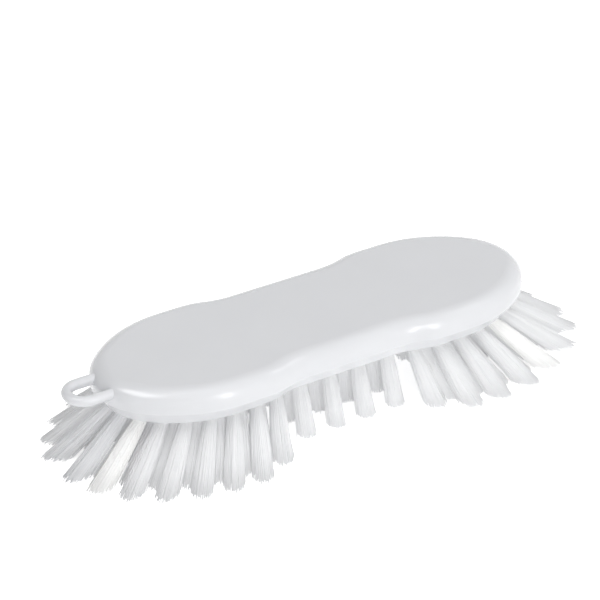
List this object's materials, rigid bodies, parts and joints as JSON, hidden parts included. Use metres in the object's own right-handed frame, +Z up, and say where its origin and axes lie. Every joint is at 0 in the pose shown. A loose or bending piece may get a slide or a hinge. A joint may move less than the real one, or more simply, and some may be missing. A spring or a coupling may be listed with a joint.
{
  "type": "scrub brush",
  "caption": "Hand scrub brush: a waisted moulded plastic block with a rolled edge and a hanging loop, set with stiff bristle tufts that fan out all round.",
  "frame": {"origin": "on the surface that the bristle tips stand on, under the middle of the block", "axes": "+Z up, from the bristle tips to the flat top of the block; X along the block, with the hanging loop at -X; Y across it"},
  "size_m": [0.2396, 0.0978, 0.038],
  "materials": {
    "block_plastic": "smooth moulded white polypropylene with a soft sheen",
    "bristle": "white, slightly translucent stiff filaments",
    "anchor_wire": "drawn flat wire"
  },
  "bodies": {
    "root": {"block": "block_plastic", "tuft_anchors": "anchor_wire", "left_outer_tufts_1": "bristle", "left_outer_tufts_2": "bristle", "left_outer_tufts_3": "bristle", "left_outer_tufts_4": "bristle", "left_outer_tufts_5": "bristle", "left_outer_tufts_6": "bristle", "left_outer_tufts_7": "bristle", "left_outer_tufts_8": "bristle", "left_second_tufts_1": "bristle", "left_second_tufts_2": "bristle", "left_second_tufts_3": "bristle", "left_second_tufts_4": "bristle", "left_second_tufts_5": "bristle", "left_second_tufts_6": "bristle", "left_second_tufts_7": "bristle", "left_third_tufts_1": "bristle", "left_third_tufts_2": "bristle", "left_third_tufts_3": "bristle", "left_third_tufts_4": "bristle", "left_middle_tufts_1": "bristle", "left_middle_tufts_2": "bristle", "right_outer_tufts_1": "bristle", "right_outer_tufts_2": "bristle", "right_outer_tufts_3": "bristle", "right_outer_tufts_4": "bristle", "right_outer_tufts_5": "bristle", "right_outer_tufts_6": "bristle", "right_outer_tufts_7": "bristle", "right_outer_tufts_8": "bristle", "right_second_tufts_1": "bristle", "right_second_tufts_2": "bristle", "right_second_tufts_3": "bristle", "right_second_tufts_4": "bristle", "right_second_tufts_5": "bristle", "right_second_tufts_6": "bristle", "right_second_tufts_7": "bristle", "right_third_tufts_1": "bristle", "right_third_tufts_2": "bristle", "right_third_tufts_3": "bristle", "right_third_tufts_4": "bristle", "right_middle_tufts_1": "bristle", "right_middle_tufts_2": "bristle", "waist_tufts_row_1": "bristle", "waist_tufts_row_2": "bristle", "waist_tufts_row_3": "bristle", "waist_tufts_row_4": "bristle", "waist_tufts_row_5": "bristle"}
  },
  "joints": []
}
